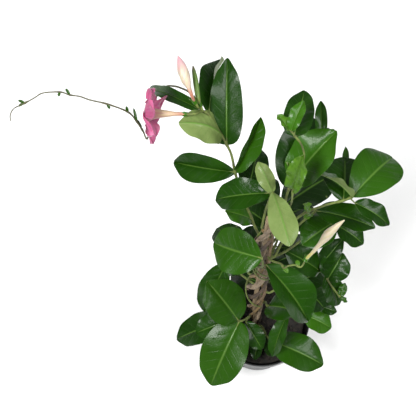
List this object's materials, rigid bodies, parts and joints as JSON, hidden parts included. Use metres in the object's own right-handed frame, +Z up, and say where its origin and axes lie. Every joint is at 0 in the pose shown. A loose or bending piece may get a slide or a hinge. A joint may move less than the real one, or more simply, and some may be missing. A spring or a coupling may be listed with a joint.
{
  "type": "mandevilla plant in a nursery pot",
  "caption": "Climbing plant with glossy oval leaves, a pink trumpet flower and buds, twined up a cane in a round tapered pot.",
  "frame": {"origin": "Middle of the pot's flat underside, on the surface that the pot stands on.", "axes": "+Z up along the pot's axis, +X to the right and +Y away from the viewer, as the picture shows the plant."},
  "size_m": [0.3929, 0.2606, 0.6146],
  "materials": {
    "pot_plastic": "black, satin",
    "soil": "dark damp potting mix",
    "cane": "tan, dry",
    "papery_bark": "tan-grey, papery",
    "brown_bark": "dark brown, rough",
    "tan_bark": "tan, dry",
    "ochre_bark": "ochre, dry",
    "leaf": "glossy green",
    "inner_leaf": "glossy dark green",
    "young_leaf": "glossy yellow-green",
    "tendril": "brown-green, dull",
    "petal": "pink, silky",
    "pink_bud": "pale pink to cream, silky",
    "green_bud": "green",
    "cream_bud": "cream, silky",
    "bud_stalk": "pale yellow-green"
  },
  "bodies": {
    "root": {"pot": "pot_plastic", "soil": "soil", "cane": "cane", "stem_papery": "papery_bark", "stem_brown": "brown_bark", "stem_tan": "tan_bark", "stem_ochre": "ochre_bark", "left_flowering_shoot": "leaf", "upper_left_shoot": "leaf", "middle_pair": "leaf", "top_glossy_shoot": "leaf", "right_shoot": "leaf", "right_inner_shoot": "leaf", "right_low_shoot": "leaf", "right_back_shoot": "leaf", "front_right_shoot": "leaf", "bottom_right_shoot": "leaf", "front_left_shoot": "leaf", "left_back_shoot": "leaf", "back_high_shoot": "inner_leaf", "back_middle_shoot": "inner_leaf", "back_low_shoot": "inner_leaf", "right_side_shoot": "inner_leaf", "left_side_shoot": "inner_leaf", "top_twining_shoot": "young_leaf", "long_shoot": "tendril", "flower": "petal", "pink_bud": "pink_bud", "green_bud": "green_bud", "cream_bud": "cream_bud", "cream_bud_stalk": "bud_stalk"}
  },
  "joints": []
}
